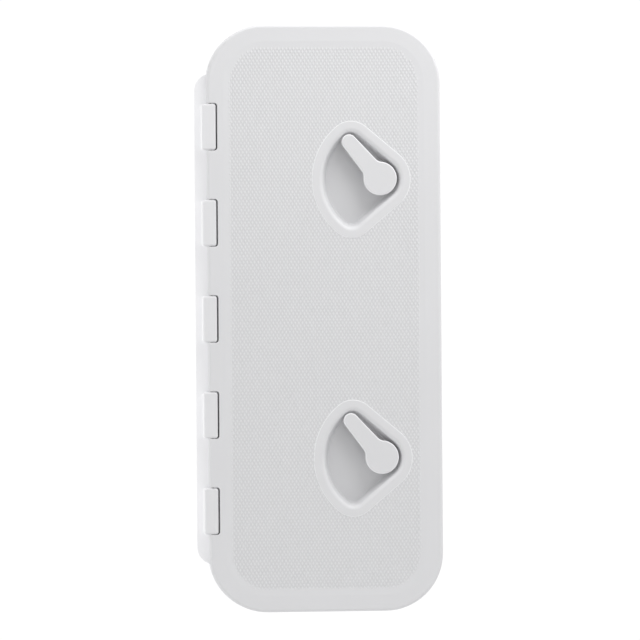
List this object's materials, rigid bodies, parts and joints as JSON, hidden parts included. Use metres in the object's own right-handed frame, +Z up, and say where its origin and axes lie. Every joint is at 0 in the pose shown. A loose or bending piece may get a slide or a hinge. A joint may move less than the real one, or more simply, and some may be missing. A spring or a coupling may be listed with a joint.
{
  "type": "access hatch",
  "caption": "Tall white moulded access hatch: flanged frame with collar, gasket, side-hinged lid with diamond grip panel, and turning latches in fan-shaped finger cups.",
  "frame": {"origin": "on the wall plane, the flange's flat back face, behind the middle of the lid", "axes": "+X to the right seen from the front, +Y into the wall, +Z up; the lid's front faces -Y"},
  "size_m": [0.2544, 0.045, 0.607],
  "materials": {
    "white_plastic": "satin white moulded plastic",
    "seal_rubber": "black sealing rubber",
    "stainless": "plain stainless steel"
  },
  "bodies": {
    "frame": {"frame": "white_plastic", "gasket": "seal_rubber", "hinge_rod": "stainless"},
    "lid": {"lid": "white_plastic"},
    "latch_upper": {"handle_upper": "white_plastic", "cam_upper": "white_plastic", "cam_washer_upper": "stainless", "cam_screw_upper": "stainless"},
    "latch_lower": {"handle_lower": "white_plastic", "cam_lower": "white_plastic", "cam_washer_lower": "stainless", "cam_screw_lower": "stainless"}
  },
  "joints": [
    {"name": "lid_hinge", "type": "hinge", "parent": "frame", "child": "lid", "pos_m": [-0.1182, -0.0157, 0], "axis": [0, 0, -1], "range_deg": [0, 110]},
    {"name": "latch_upper_turn", "type": "hinge", "parent": "lid", "child": "latch_upper", "pos_m": [0.0585, 0, 0.1443], "axis": [0, -1, 0], "range_deg": [0, 100]},
    {"name": "latch_lower_turn", "type": "hinge", "parent": "lid", "child": "latch_lower", "pos_m": [0.0585, 0, -0.1443], "axis": [0, -1, 0], "range_deg": [0, 100]}
  ]
}
